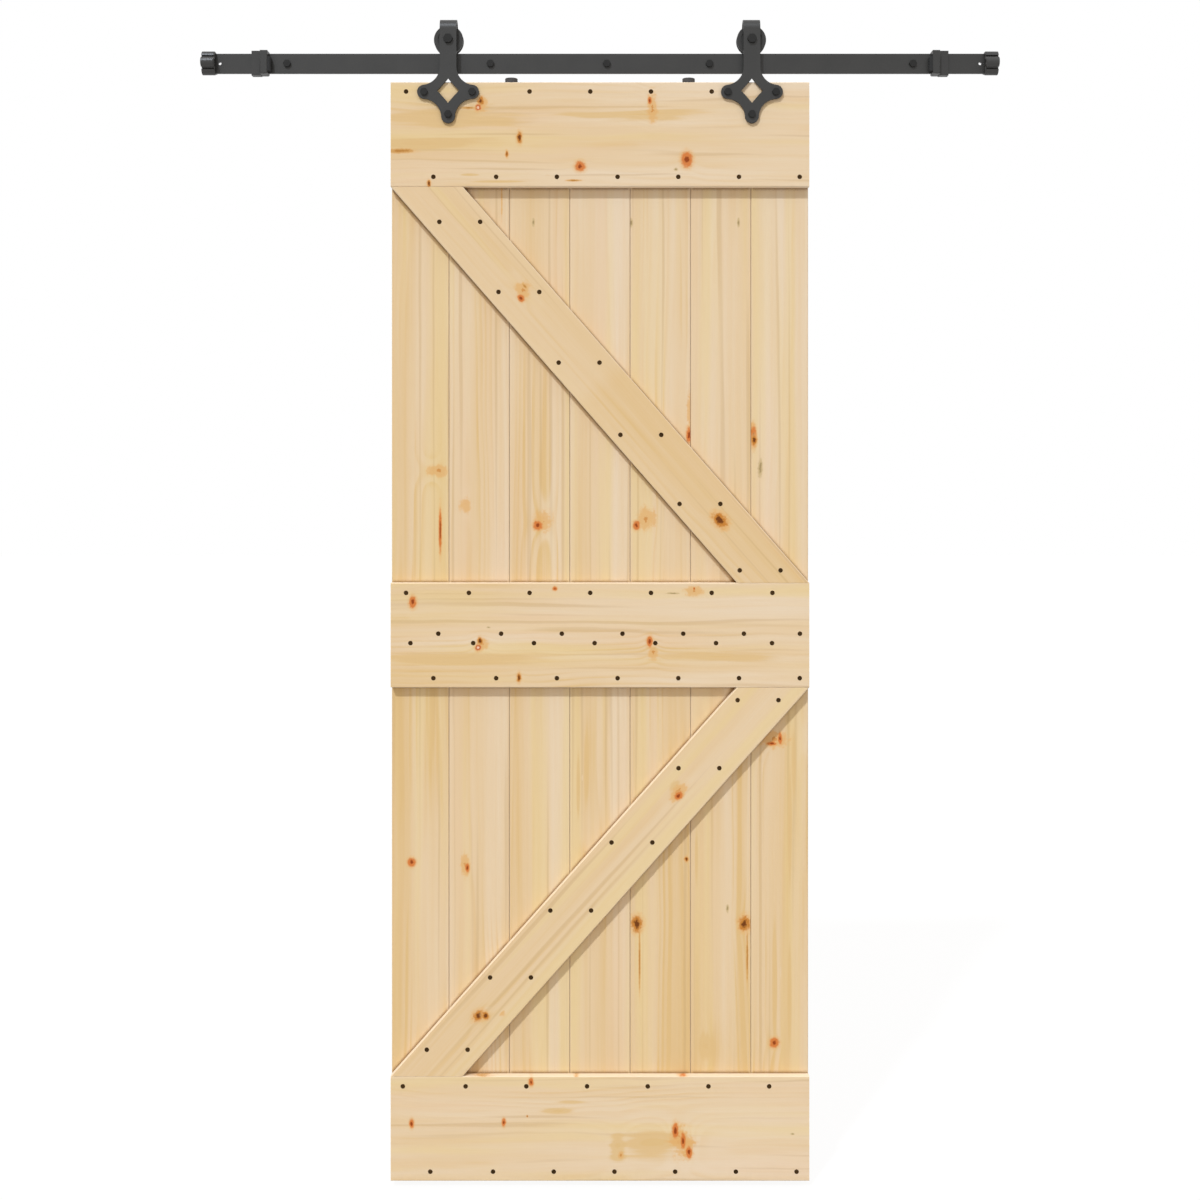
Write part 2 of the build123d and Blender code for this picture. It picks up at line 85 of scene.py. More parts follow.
# Linear colours: the wood runs from pale to tan
PALE_WOOD = (0.840, 0.680, 0.490)
MID_WOOD = (0.805, 0.605, 0.370)
TAN_WOOD = (0.755, 0.520, 0.240)
PINK_WOOD = (0.835, 0.590, 0.400)
YELLOW_WOOD = (0.830, 0.645, 0.315)
LINE_WOOD = (0.600, 0.400, 0.190)
# painted highlight: the pale colour laid on faces turned from the front
PAINTED_HIGHLIGHT_WOOD = (0.880, 0.740, 0.560)
# painted shade: the dark colour laid in corners and creases where shade falls
PAINTED_SHADE_WOOD = (0.260, 0.130, 0.045)
STEEL = (0.0212, 0.0200, 0.0180)
BOLT = (0.0150, 0.0145, 0.0135)
DISC = (0.070, 0.066, 0.064)
RUBBER = (0.012, 0.012, 0.012)
NAIL = (0.050, 0.026, 0.008)


class Graph:
    """A material's nodes, with one short call for each kind that the materials use."""

    def __init__(self, name):
        self.material = bpy.data.materials.new(name)
        self.material.use_nodes = True
        self.tree = self.material.node_tree
        self.tree.nodes.clear()

    def node(self, kind, **settings):
        made = self.tree.nodes.new(kind)
        for key, value in settings.items():
            setattr(made, key, value)
        return made

    def put(self, socket, value):
        if isinstance(value, bpy.types.NodeSocket):
            self.tree.links.new(value, socket)
        else:
            socket.default_value = value

    def math(self, operation, a, b=0.0, c=0.0):
        made = self.node("ShaderNodeMath", operation=operation)
        for socket, value in zip(made.inputs, (a, b, c)):
            self.put(socket, value)
        return made.outputs[0]

    def dot(self, a, b):
        made = self.node("ShaderNodeVectorMath", operation="DOT_PRODUCT")
        self.put(made.inputs[0], a)
        self.put(made.inputs[1], b)
        return made.outputs["Value"]

    def vector(self, x, y, z):
        made = self.node("ShaderNodeCombineXYZ")
        for socket, value in zip(made.inputs, (x, y, z)):
            self.put(socket, value)
        return made.outputs[0]

    def sway(self, total, noise, amount):
        """A total with a noise value added to it, up or down from the noise's middle."""
        return self.math("MULTIPLY_ADD", self.math("SUBTRACT", noise, 0.5), amount, total)

    def noise(self, vector, scale, detail=2.0, roughness=0.5):
        made = self.node("ShaderNodeTexNoise")
        self.put(made.inputs["Vector"], vector)
        self.put(made.inputs["Scale"], scale)
        self.put(made.inputs["Detail"], detail)
        self.put(made.inputs["Roughness"], roughness)
        return made.outputs[0]

    def smooth(self, value, low, high, to_low=0.0, to_high=1.0):
        made = self.node("ShaderNodeMapRange", interpolation_type="SMOOTHSTEP")
        for socket, part in zip(made.inputs, (value, low, high, to_low, to_high)):
            self.put(socket, part)
        return made.outputs[0]

    def mix(self, share, a, b, blend="MIX"):
        made = self.node("ShaderNodeMix", data_type="RGBA", blend_type=blend)
        self.put(made.inputs[0], share)
        self.put(made.inputs[6], a if isinstance(a, bpy.types.NodeSocket) else (*a, 1))
        self.put(made.inputs[7], b if isinstance(b, bpy.types.NodeSocket) else (*b, 1))
        return made.outputs[2]

    def ramp(self, value, *colours):
        """A run of evenly spaced colours."""
        made = self.node("ShaderNodeValToRGB")
        stops = made.color_ramp.elements
        while len(stops) < len(colours):
            stops.new(0.5)
        for i, (stop, colour) in enumerate(zip(stops, colours)):
            stop.position = i / (len(colours) - 1)
            stop.color = (*colour, 1)
        self.put(made.inputs[0], value)
        return made.outputs[0]

    def position(self):
        return self.node("ShaderNodeTexCoord").outputs["Object"]

    def bump(self, height, strength, distance):
        made = self.node("ShaderNodeBump")
        self.put(made.inputs["Strength"], strength)
        self.put(made.inputs["Distance"], distance)
        self.put(made.inputs["Height"], height)
        return made.outputs[0]

    def surface(self, colour, roughness, normal, specular=0.5):
        shader = self.node("ShaderNodeBsdfPrincipled")
        self.put(shader.inputs["Base Color"], colour)
        self.put(shader.inputs["Roughness"], roughness)
        self.put(shader.inputs["Normal"], normal)
        shader.inputs["Specular IOR Level"].default_value = specular
        output = self.node("ShaderNodeOutputMaterial")
        self.tree.links.new(shader.outputs[0], output.inputs[0])
        return self.material


# A knot's look: colours from its heart outwards, the sizes of heart and halo in knot radii, how far
# body and halo cover the wood, and how much noise and grain break up its outline
KnotKind = namedtuple("KnotKind", "heart body halo heart_size halo_size body_share halo_share ragged grained")
ORANGE_HALO = (0.800, 0.460, 0.170)
RED = KnotKind((0.300, 0.050, 0.004), (0.680, 0.190, 0.035), ORANGE_HALO, 0.52, 1.8, 0.92, 0.65, 0.9, 0.0)
BROWN = KnotKind((0.150, 0.036, 0.002), (0.590, 0.220, 0.030), ORANGE_HALO, 0.64, 1.9, 0.95, 0.70, 1.4, 0.0)
RING = KnotKind((0.900, 0.640, 0.460), (0.600, 0.140, 0.035), ORANGE_HALO, 0.45, 2.0, 0.95, 0.70, 1.2, 0.0)
GLOW = KnotKind((0.660, 0.300, 0.080), (0.770, 0.440, 0.155), ORANGE_HALO, 0.20, 1.6, 0.62, 0.35, 1.4, 2.0)
STROKE = KnotKind((0.520, 0.230, 0.048), (0.640, 0.330, 0.090), ORANGE_HALO, 0.60, 1.7, 0.85, 0.45, 1.2, 1.0)
FLECK = KnotKind((0.400, 0.290, 0.130), (0.560, 0.410, 0.190), MID_WOOD, 0.60, 2.0, 0.60, 0.30, 1.2, 0.0)
TINT = KnotKind(TAN_WOOD, TAN_WOOD, TAN_WOOD, 0.30, 1.5, 0.70, 0.45, 0.0, 2.2)
BEND = KnotKind(MID_WOOD, MID_WOOD, MID_WOOD, 0.10, 1.5, 0.0, 0.0, 0.0, 0.0)

# Knots by piece, in millimetres to the right of and down from the door's top left corner.
# Length runs along the grain and width across it, each from the middle to the edge.
# Each is laid over those before it, so the broad tints come first.
Knot = namedtuple("Knot", "right down length width kind")
KNOTS = {
    "top_ledge": (
        Knot(120, 70, 150, 14, TINT),
        Knot(60, 118, 130, 10, TINT),
        Knot(470, 62, 130, 9, TINT),
        Knot(150, 177, 14, 2, TINT),
        Knot(205, 190, 45, 2, TINT),
        Knot(300, 178, 60, 16, BEND),
        Knot(60, 176, 50, 14, BEND),
        Knot(176, 43, 9, 12, GLOW),
        Knot(172, 36, 6, 8, BROWN),
        Knot(167, 49, 6, 6, RING),
        Knot(148, 49, 16, 2.4, STROKE),
        Knot(246, 106, 5, 11, BROWN),
        Knot(222, 137, 3, 6, BROWN),
        Knot(362, 161, 10, 10, RED),
        Knot(73, 194, 3.5, 7, BROWN),
        Knot(18, 131, 26, 4, STROKE),
        Knot(500, 48, 9, 24, GLOW),
        Knot(495, 35, 4, 7, RED),
        Knot(566, 148, 11, 15, RED),
        Knot(545, 167, 4, 3, FLECK),
        Knot(350, 188, 14, 2, STROKE),
    ),
    "middle_ledge": (
        Knot(120, 1100, 150, 12, TINT),
        Knot(640, 1098, 120, 8, TINT),
        Knot(42, 994, 7, 12, RED),
        Knot(314, 968, 4.5, 4.5, RED),
        Knot(176, 1074, 9, 13, GLOW),
        Knot(171, 1068, 5.5, 7, BROWN),
        Knot(167, 1081, 6, 6, RING),
        Knot(245, 1138, 4, 9, BROWN),
        Knot(580, 972, 16, 9, GLOW),
        Knot(580, 968, 2, 3, RED),
        Knot(540, 977, 14, 2, FLECK),
        Knot(495, 1069, 6, 11, RED),
        Knot(502, 1090, 7, 12, GLOW),
        Knot(187, 1042, 4, 2, FLECK),
    ),
    "bottom_ledge": (
        Knot(500, 2026, 50, 22, TINT),
        Knot(434, 2032, 13, 26, TINT),
        Knot(330, 1960, 55, 34, BEND),
        Knot(322, 1966, 26, 5, TINT),
        Knot(344, 1948, 30, 4, TINT),
        Knot(150, 1965, 60, 22, BEND),
        Knot(40, 1990, 4.5, 9, RED),
        Knot(216, 1988, 4, 8, RED),
        Knot(268, 1911, 5, 8, RED),
        Knot(261, 1976, 1.6, 2, BROWN),
        Knot(557, 2026, 19, 24, GLOW),
        Knot(551, 2014, 12, 16, GLOW),
        Knot(566, 2036, 12, 15, GLOW),
        Knot(544, 2004, 6, 15, RED),
        Knot(559, 2023, 5, 15, RED),
        Knot(570, 2045, 6, 12, RED),
        Knot(440, 2049, 4, 6, GLOW),
        Knot(768, 2010, 4, 2, FLECK),
        Knot(174, 1897.5, 22, 3, STROKE),
        Knot(355, 1897.5, 6, 3, STROKE),
        Knot(558, 1897.5, 9, 3, RED),
    ),
    "upper_brace": (
        Knot(253, 396, 14, 11, GLOW),
        Knot(249, 413, 8, 6, RED),
        Knot(256, 390, 6, 2.5, STROKE),
        Knot(632, 838, 16, 12, GLOW),
        Knot(629, 837, 17, 11, BROWN),
    ),
    "lower_brace": (
        Knot(542, 1344, 13, 9, TINT),
        Knot(548, 1356, 16, 10, GLOW),
        Knot(550, 1364, 9, 7, RED),
        Knot(168, 1784, 12, 9, BROWN),
        Knot(181, 1784, 6, 8, BROWN),
        Knot(214, 1780, 6, 4, GLOW),
    ),
    "board_1": (
        Knot(86, 743, 10, 20, GLOW),
        Knot(93, 857, 42, 3, RED),
        Knot(38, 1495, 9, 8, RED),
    ),
    "board_2": (
        Knot(140, 810, 13, 9, GLOW),
        Knot(141, 1500, 18, 9, GLOW),
        Knot(145, 1506, 9, 4.5, RED),
        Knot(211, 222, 40, 1.8, GLOW),
    ),
    "board_3": (
        Knot(289, 839, 20, 14, GLOW),
        Knot(280, 848, 9, 9, RED),
        Knot(272, 266, 9, 3, FLECK),
    ),
    "board_4": (
        Knot(366, 1333, 80, 16, BEND),
        Knot(374, 1311, 60, 4, TINT),
        Knot(358, 1349, 50, 3, TINT),
    ),
    "board_5": (
        Knot(489, 835, 19, 14, GLOW),
        Knot(470, 848, 9, 7, RED),
        Knot(578, 627, 36, 9, GLOW),
        Knot(571, 674, 15, 5.5, RED),
        Knot(471, 1613, 15, 11, BROWN),
        Knot(476, 1685, 50, 1.8, STROKE),
        Knot(566, 1489, 5, 4, BROWN),
        Knot(460, 267, 9, 3.5, FLECK),
    ),
    "board_6": (
        Knot(603, 1848, 24, 15, TINT),
        Knot(585, 1484, 60, 4, TINT),
        Knot(678, 1613, 15, 11, BROWN),
        Knot(683, 1680, 45, 1.8, STROKE),
        Knot(645, 1584, 8, 3, FLECK),
        Knot(666, 266, 9, 3, FLECK),
    ),
    "board_7": (
        Knot(773, 1303, 60, 4, TINT),
        Knot(764, 1434, 110, 3.5, TINT),
        Knot(747, 1706, 140, 18, BEND),
        Knot(735, 1726, 100, 4, TINT),
        Knot(764, 1766, 90, 3.5, TINT),
        Knot(692, 668, 16, 6, GLOW),
        Knot(695, 677, 20, 6, RED),
        Knot(696, 684, 10, 5, BROWN),
        Knot(708, 737, 20, 5, FLECK),
        Knot(735, 1842, 10, 9, RED),
        Knot(738, 1259, 14, 22, GLOW),
        Knot(746, 1257, 12, 4, RED),
        Knot(730, 1267, 4, 9, RED),
    ),
}

# How each piece was cut from its tree: the heart's place across and behind the piece, in metres,
# and its warmth, from 0 for pale to 1 for tan, at its top or left end and at its other end.
Cut = namedtuple("Cut", "heart_across heart_behind warmth_start warmth_end")
CUTS = {
    "board_1": Cut(0.020, 0.060, 0.46, 0.58),
    "board_2": Cut(-0.030, 0.035, 0.14, 0.40),
    "board_3": Cut(0.010, 0.045, 0.48, 0.56),
    "board_4": Cut(-0.045, 0.080, 0.04, 0.62),
    "board_5": Cut(0.025, 0.030, 0.26, 0.74),
    "board_6": Cut(-0.010, 0.050, 0.30, 0.66),
    "board_7": Cut(0.040, 0.060, 0.20, 0.62),
    "top_ledge": Cut(-0.020, 0.050, 0.52, 0.16),
    "middle_ledge": Cut(0.030, 0.045, 0.62, 0.36),
    "bottom_ledge": Cut(-0.040, 0.055, 0.42, 0.12),
    "upper_brace": Cut(0.015, 0.040, 0.52, 0.70),
    "lower_brace": Cut(-0.015, 0.040, 0.36, 0.62),
}

# A brace's length along the ledge that it meets, in metres, and the step from piece to piece in the noise
BRACE_END = 0.138
SEED_STEP = 3.7

# The grain of a kind of piece: its rate of change along the piece, its waves, and how strong its
# rings, its streaks, its painted shade in creases and its painted highlight on edges are
Grain = namedtuple("Grain", "rate wave rings streaks crease edge")
BOARD_GRAIN = Grain(1.0, 0.006, 0.60, 0.9, 0.85, 0.35)
LEDGE_GRAIN = Grain(2.2, 0.022, 0.42, 0.8, 0.15, 0.80)
BRACE_GRAIN = Grain(1.0, 0.008, 0.22, 0.34, 0.15, 0.80)

# Streaks along the grain: their rates along and across the piece, in noise cells a metre, and the
# slice of the noise that each is cut from
Streak = namedtuple("Streak", "along across slice")
HEART_DRIFT = Streak(1.1, 4.0, 0.0)
SLOW_WAVE = Streak(2.6, 7.0, 1.0)
QUICK_WAVE = Streak(9.0, 16.0, 2.0)
RING_PATCHES = Streak(1.4, 14.0, 3.0)
RING_STROKES = Streak(4.0, 150.0, 4.0)
BROAD_BANDS = Streak(0.6, 16.0, 5.0)
BUSY_ZONES = Streak(0.8, 9.0, 6.0)
NARROW_BANDS = Streak(0.9, 50.0, 7.0)
FINE_BANDS = Streak(2.5, 210.0, 9.0)
KNOT_GRAIN = Streak(3.0, 70.0, 19.0)

# Colours laid over the wood as a streak's noise goes from low to high, up to a share
Wash = namedtuple("Wash", "streak detail low high share colour")
WASHES = (
    Wash(Streak(0.9, 15.0, 11.0), 2.0, 0.52, 0.72, 0.25, PINK_WOOD),
    Wash(Streak(0.7, 24.0, 17.0), 2.0, 0.48, 0.68, 0.50, YELLOW_WOOD),
    Wash(Streak(1.2, 110.0, 13.0), 0.0, 0.64, 0.80, 0.38, LINE_WOOD),
)

# A smooth change from start to end, as the value that it follows goes from low to high
Fade = namedtuple("Fade", "low high start end")

# Growth rings, with lengths in metres
RING_SPACING = 0.0105
RING_RISE = Fade(0.25, 0.78, 0.0, 1.0)
RING_FALL = Fade(0.78, 1.0, 1.0, 0.0)
RING_STROKE_FADE = Fade(0.3, 0.7, 0.55, 1.25)
RING_LIFT = 0.5
LIFT_FALL = -0.16
TRUNK_TAPER = 0.012
HEART_DRIFT_REACH = 0.05
QUICK_WAVE_SHARE = 0.25
UNEVEN_RATE = 34.0
UNEVEN_REACH = 0.03

# The wood's tone: how strong the rings' patches and the bands are
PATCH_RANGE = (0.42, 0.68)
PATCH_LEAST = 0.02
PATCH_MOST = 1.2
PALE_WOOD_RINGS = 0.3
BROAD_AMOUNT = 1.7
BUSY_RANGE = (0.35, 0.65)
BUSY_LEAST = 0.3
BUSY_MOST = 1.3
FINE_AMOUNT = 0.3

# Fibres and relief
FIBRE_ALONG = 22.0
FIBRE_ACROSS = 1100.0
FIBRE_TINT = Fade(0.35, 0.8, 0.0, 0.14)
FIBRE_ROUGHNESS = Fade(0.2, 0.8, 0.55, 0.72)
FIBRE_RELIEF = 0.6
RING_RELIEF = 0.4
RELIEF_STRENGTH = 0.25
RELIEF_DEPTH = 0.0006
WOOD_SPECULAR = 0.2

# Knots, in knot radii, with the noise that makes their outlines ragged
RAGGED_SCALE = 170.0
RAGGED_DETAIL = 4.0
RAGGED_ROUGHNESS = 0.65
HALO_START = 0.8
BODY_EDGE = (0.7, 1.2)
HEART_CORE = 0.5
HEART_SHARE = 0.95

# Painted highlight on faces by how far they turn from the front, and painted shade in creases by how closed
# in a place is
HIGHLIGHT_TURN = (0.75, 0.97)
SHADE_REACH = 0.008
SHADE_RAYS = 6
SHADE_RANGE = (0.50, 0.90)
JOINT_FADE = Fade(0.015, 0.05, 0.45, 1.0)


def knot_group():
    """A node group that gives a point's distance from a knot, in knot radii, and the grain's lift."""
    tree = bpy.data.node_groups.new("knot_field", "ShaderNodeTree")
    for name in ("Along", "Across", "Centre Along", "Centre Across", "Length", "Width"):
        tree.interface.new_socket(name, in_out="INPUT", socket_type="NodeSocketFloat")
    for name in ("Distance", "Lift"):
        tree.interface.new_socket(name, in_out="OUTPUT", socket_type="NodeSocketFloat")
    start = tree.nodes.new("NodeGroupInput")
    end = tree.nodes.new("NodeGroupOutput")

    def math(operation, a, b=0.0):
        made = tree.nodes.new("ShaderNodeMath")
        made.operation = operation
        for socket, value in zip(made.inputs, (a, b)):
            if isinstance(value, bpy.types.NodeSocket):
                tree.links.new(value, socket)
            else:
                socket.default_value = value
        return made.outputs[0]

    squares = []
    for point, centre, size in (("Along", "Centre Along", "Length"), ("Across", "Centre Across", "Width")):
        offset = math("SUBTRACT", start.outputs[point], start.outputs[centre])
        share = math("DIVIDE", offset, start.outputs[size])
        squares.append(math("MULTIPLY", share, share))
    total = math("ADD", squares[0], squares[1])
    tree.links.new(math("SQRT", total), end.inputs["Distance"])
    tree.links.new(math("EXPONENT", math("MULTIPLY", total, LIFT_FALL)), end.inputs["Lift"])
    return tree


class Plank:
    """A piece of wood: its own directions, its knots, and noise drawn out along its grain."""

    def __init__(self, name, box, along, across, grain, field, seed):
        self.g = g = Graph(f"pine_{name}")
        self.cut = CUTS[name]
        self.box, self.along, self.across = box, along, across
        self.grain, self.seed = grain, seed
        self.place = g.position()
        self.u = g.dot(self.place, along)
        self.v = g.dot(self.place, across)
        self.w = g.dot(self.place, BACK)
        waved = g.sway(self.v, self.pattern(SLOW_WAVE, self.v), grain.wave)
        self.waved = g.sway(waved, self.pattern(QUICK_WAVE, self.v), grain.wave * QUICK_WAVE_SHARE)
        self.knots = [(knot, self.knot_node(knot, field)) for knot in KNOTS[name]]

    def pattern(self, streak, line, rate=1.0, detail=2.0):
        g = self.g
        along = g.math("MULTIPLY", self.u, streak.along * rate)
        across = g.math("MULTIPLY", line, streak.across)
        return g.noise(g.vector(along, across, self.seed + streak.slice), 1.0, detail)

    def streaks(self, streak, detail=2.0):
        return self.pattern(streak, self.waved, self.grain.rate, detail)

    def knot_node(self, knot, field):
        centre = Vector((DOOR_LEFT + knot.right * MM, 0, DOOR_TOP - knot.down * MM))
        made = self.g.node("ShaderNodeGroup", node_tree=field)
        middle = (centre.dot(self.along), centre.dot(self.across))
        values = (self.u, self.v, *middle, knot.length * MM, knot.width * MM)
        for socket, value in zip(made.inputs, values):
            self.g.put(socket, value)
        return made

    def late_wood(self):
        """The dark part of each growth ring round the tree's heart, bent by the knots."""
        g = self.g
        low, high = self.box
        middle = ((low + high) / 2).dot(self.across)
        side = g.math("SUBTRACT", self.waved, middle + self.cut.heart_across)
        side = g.sway(side, self.pattern(HEART_DRIFT, self.v), HEART_DRIFT_REACH)
        depth = g.math("SUBTRACT", self.w, LEDGE_FACE + self.cut.heart_behind)
        squares = g.math("MULTIPLY_ADD", side, side, g.math("MULTIPLY", depth, depth))
        ring = g.math("MULTIPLY_ADD", self.u, TRUNK_TAPER, g.math("SQRT", squares))
        for knot, made in self.knots:
            ring = g.math("MULTIPLY_ADD", made.outputs["Lift"], RING_LIFT * knot.width * MM, ring)
        uneven = g.noise(g.vector(g.math("MULTIPLY", ring, UNEVEN_RATE), self.seed, 0.0), 1.0, 1.0)
        ring = g.sway(ring, uneven, UNEVEN_REACH)
        phase = g.math("FRACT", g.math("DIVIDE", ring, RING_SPACING))
        late = g.math("MULTIPLY", g.smooth(phase, *RING_RISE), g.smooth(phase, *RING_FALL))
        return g.math("MULTIPLY", late, g.smooth(self.streaks(RING_STROKES), *RING_STROKE_FADE))

    def tone(self, late):
        """How warm the wood is, from 0 for pale to 1 for tan."""
        g, grain = self.g, self.grain
        start, end = sorted(corner.dot(self.along) for corner in self.box)
        if self.along == UP:
            start, end = end, start
        tone = g.smooth(self.u, start, end, self.cut.warmth_start, self.cut.warmth_end)
        patch = g.smooth(self.streaks(RING_PATCHES), *PATCH_RANGE, PATCH_LEAST, PATCH_MOST * grain.rings)
        patch = g.math("MULTIPLY", patch, g.math("ADD", tone, PALE_WOOD_RINGS))
        tone = g.sway(tone, self.streaks(BROAD_BANDS), BROAD_AMOUNT * grain.streaks)
        busy = (BUSY_LEAST * grain.streaks, BUSY_MOST * grain.streaks)
        busy = g.smooth(self.streaks(BUSY_ZONES), *BUSY_RANGE, *busy)
        tone = g.sway(tone, self.streaks(NARROW_BANDS), busy)
        tone = g.sway(tone, self.streaks(FINE_BANDS), FINE_AMOUNT)
        return g.math("MULTIPLY_ADD", late, patch, tone)

    def fibres(self):
        g = self.g
        along = g.math("MULTIPLY", self.u, FIBRE_ALONG)
        across = g.math("MULTIPLY", self.v, FIBRE_ACROSS)
        return g.noise(g.vector(along, across, self.w), 1.0, 2.0)

    def lay_knots(self, colour):
        g = self.g
        ragged = g.noise(self.place, RAGGED_SCALE, RAGGED_DETAIL, RAGGED_ROUGHNESS)
        ragged = g.math("SUBTRACT", ragged, 0.5)
        grained = g.math("SUBTRACT", self.streaks(KNOT_GRAIN), 0.5)
        for knot, made in self.knots:
            kind = knot.kind
            distance = g.math("MULTIPLY_ADD", ragged, kind.ragged, made.outputs["Distance"])
            distance = g.math("MULTIPLY_ADD", grained, kind.grained, distance)
            halo = g.smooth(distance, HALO_START, kind.halo_size, kind.halo_share, 0.0)
            colour = g.mix(halo, colour, kind.halo)
            colour = g.mix(g.smooth(distance, *BODY_EDGE, kind.body_share, 0.0), colour, kind.body)
            heart = g.smooth(distance, HEART_CORE * kind.heart_size, kind.heart_size, HEART_SHARE, 0.0)
            colour = g.mix(heart, colour, kind.heart)
        return colour

    def painted_corner_shade(self):
        """Painted shade: how dark a place is painted for lying in a corner, less so in the joints between
        boards.
        """
        g = self.g
        hollow = g.node("ShaderNodeAmbientOcclusion", samples=SHADE_RAYS)
        g.put(hollow.inputs["Distance"], SHADE_REACH)
        crease = g.smooth(hollow.outputs["AO"], *SHADE_RANGE, self.grain.crease, 0.0)
        if self.grain == BOARD_GRAIN:
            from_joint = g.math("SUBTRACT", self.v, DOOR_LEFT + FIRST_JOINT * MM)
            to_joint = g.math("PINGPONG", g.math("DIVIDE", from_joint, BOARD_PITCH * MM), 0.5)
            crease = g.math("MULTIPLY", crease, g.smooth(to_joint, *JOINT_FADE))
        return crease

    def material(self):
        """Planed pine: soft streaks along the grain, growth rings bent round the knots, fine fibres, a
        painted highlight on faces turned from the front and painted shade in corners.
        """
        g = self.g
        late = self.late_wood()
        fibre = self.fibres()
        colour = g.ramp(self.tone(late), PALE_WOOD, MID_WOOD, TAN_WOOD)
        for wash in WASHES:
            share = g.smooth(self.streaks(wash.streak, wash.detail), wash.low, wash.high, 0.0, wash.share)
            colour = g.mix(share, colour, wash.colour)
        colour = g.mix(g.smooth(fibre, *FIBRE_TINT), colour, TAN_WOOD)
        # painted highlight: faces turned from the front, such as edges and sides, are made paler
        normal = g.node("ShaderNodeNewGeometry").outputs["True Normal"]
        facing = g.math("ABSOLUTE", g.dot(normal, BACK))
        colour = g.mix(g.smooth(facing, *HIGHLIGHT_TURN, self.grain.edge, 0.0), colour, PAINTED_HIGHLIGHT_WOOD)
        colour = self.lay_knots(colour)
        # painted shade: corners and creases are darkened by how closed in they are
        colour = g.mix(self.painted_corner_shade(), colour, PAINTED_SHADE_WOOD)
        height = g.math("MULTIPLY_ADD", fibre, FIBRE_RELIEF, g.math("MULTIPLY", late, RING_RELIEF))
        relief = g.bump(height, RELIEF_STRENGTH, RELIEF_DEPTH)
        return g.surface(colour, g.smooth(fibre, *FIBRE_ROUGHNESS), relief, WOOD_SPECULAR)


# Powder coat: its orange peel and its soft clouds, in noise cells a metre
PEEL_SCALE = 900.0
CLOUD_SCALE = 22.0
COAT_DETAIL = 3.0
CLOUD_RANGE = (0.3, 0.7)
SPECKS = Fade(0.55, 0.85, 0.0, 0.5)
PEEL_RANGE = (0.2, 0.8)
SHINE_SPREAD = 0.07
PEEL_STRENGTH = 0.18
PEEL_DEPTH = 0.0004


def coated_metal(name, colour, roughness, speckle, specular):
    """Powder coat: a fine orange-peel surface with faint lighter specks."""
    g = Graph(name)
    place = g.position()
    peel = g.noise(place, PEEL_SCALE, COAT_DETAIL)
    cloud = g.noise(place, CLOUD_SCALE, COAT_DETAIL)
    lighter = tuple(channel * (1 + speckle) for channel in colour)
    darker = tuple(channel * (1 - speckle) for channel in colour)
    tone = g.mix(g.smooth(cloud, *CLOUD_RANGE), darker, lighter)
    tone = g.mix(g.smooth(peel, *SPECKS), tone, lighter)
    normal = g.bump(peel, PEEL_STRENGTH, PEEL_DEPTH)
    shine = g.smooth(peel, *PEEL_RANGE, roughness - SHINE_SPREAD, roughness + SHINE_SPREAD)
    return g.surface(tone, shine, normal, specular)


RUBBER_SCALE = 1600.0
RUBBER_LIGHTER = 1.6
RUBBER_ROUGHNESS = Fade(0.2, 0.8, 0.75, 0.92)
RUBBER_STRENGTH = 0.3
RUBBER_DEPTH = 0.0003


def rubber(name, colour):
    """Matt moulded rubber with a fine grain."""
    g = Graph(name)
    grain = g.noise(g.position(), RUBBER_SCALE)
    tone = g.mix(grain, colour, tuple(channel * RUBBER_LIGHTER for channel in colour))
    return g.surface(tone, g.smooth(grain, *RUBBER_ROUGHNESS), g.bump(grain, RUBBER_STRENGTH, RUBBER_DEPTH))


def dress_wood():
    field = knot_group()
    for seed, name in enumerate(CUTS):
        low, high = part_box(name)
        if name.startswith("board"):
            along, across, grain = UP, RIGHT, BOARD_GRAIN
        elif name.endswith("ledge"):
            along, across, grain = RIGHT, UP, LEDGE_GRAIN
        else:
            grain = BRACE_GRAIN
            run = (high.x - low.x - BRACE_END) * (1 if name == "upper_brace" else -1)
            along = Vector((run, 0, low.z - high.z)).normalized()
            across = along.cross(BACK)
        plank = Plank(name, (low, high), along, across, grain, field, seed * SEED_STEP)
        paint(name, plank.material())


def paint(name, material):
    data = nodes[name].data
    data.materials.clear()
    data.materials.append(material)


def dress_metal():
    by_slot = {
        "black_steel": coated_metal("charcoal_coat", STEEL, roughness=0.44, speckle=0.10, specular=0.56),
        "cap_steel": coated_metal("cap_coat", STEEL, roughness=0.44, speckle=0.10, specular=0.62),
        "wheel_steel": coated_metal("wheel_coat", STEEL, roughness=0.44, speckle=0.12, specular=0.50),
        "disc_plastic": coated_metal("disc_plastic", DISC, roughness=0.60, speckle=0.08, specular=0.35),
        "bolt_steel": coated_metal("black_bolts", BOLT, roughness=0.55, speckle=0.15, specular=0.25),
        "buffer_rubber": rubber("buffer_rubber", RUBBER),
    }
    for part in frame["record"]["subparts"]:
        if part["material_slot"] in by_slot:
            paint(part["node"], by_slot[part["material_slot"]])


